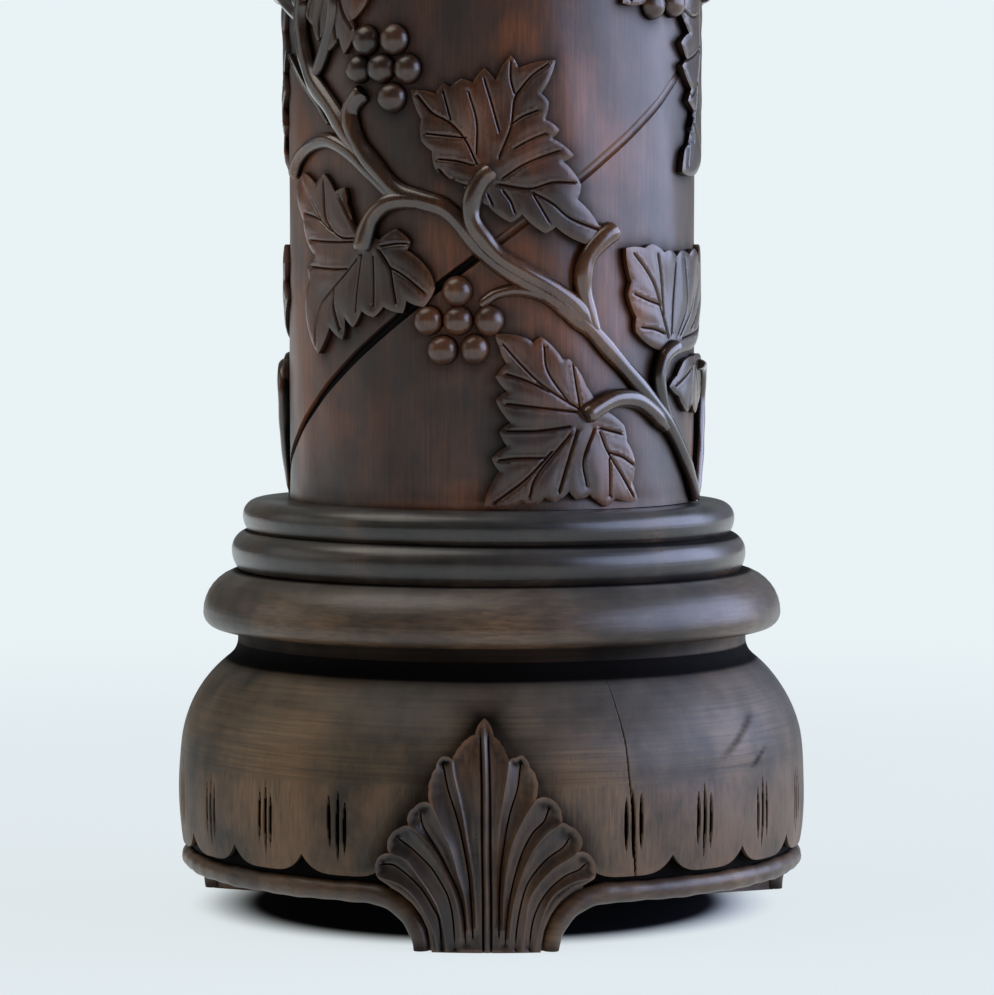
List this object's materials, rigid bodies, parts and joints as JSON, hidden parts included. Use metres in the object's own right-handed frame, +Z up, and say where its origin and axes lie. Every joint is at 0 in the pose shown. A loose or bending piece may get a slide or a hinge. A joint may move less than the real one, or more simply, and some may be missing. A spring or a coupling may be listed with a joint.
{
  "type": "pedestal column stand",
  "caption": "Round carved hardwood pedestal: a column with grapevine relief and a helical groove on stacked rings, a bulbous fringed base with palmette feet, and a round top.",
  "frame": {"origin": "on the floor, on the column's axis: bottom centre of the bounding box", "axes": "+Z up along the column, the front foot points to -Y, +X to the right seen from the front"},
  "size_m": [0.33, 0.33, 0.813],
  "materials": {
    "turned_wood": "dark stained hardwood, worn satin polish",
    "carved_wood": "dark stained carved hardwood, worn satin polish",
    "foot_wood": "dark stained carved hardwood, worn satin polish",
    "bead_wood": "dark stained hardwood bead, rubbed satin polish",
    "dowel_wood": "bare hardwood dowel",
    "steel": "dull zinc-plated steel"
  },
  "bodies": {
    "root": {"base_bolt_washer": "steel", "base_bowl": "turned_wood", "base_lag_bolt": "steel", "base_middle_ring": "turned_wood", "base_torus_ring": "turned_wood", "base_upper_ring": "turned_wood", "capital": "turned_wood", "capital_bolt_washer": "steel", "capital_lag_bolt": "steel", "capital_lower_ring": "turned_wood", "capital_middle_ring": "turned_wood", "foot_back_left": "foot_wood", "foot_back_left_dowels": "dowel_wood", "foot_back_left_screw": "steel", "foot_back_right": "foot_wood", "foot_back_right_dowels": "dowel_wood", "foot_back_right_screw": "steel", "foot_front": "foot_wood", "foot_front_dowels": "dowel_wood", "foot_front_screw": "steel", "rim_bead_back": "bead_wood", "rim_bead_left": "bead_wood", "rim_bead_right": "bead_wood", "shaft": "carved_wood", "top_board": "turned_wood", "top_board_dowels": "dowel_wood"}
  },
  "joints": []
}
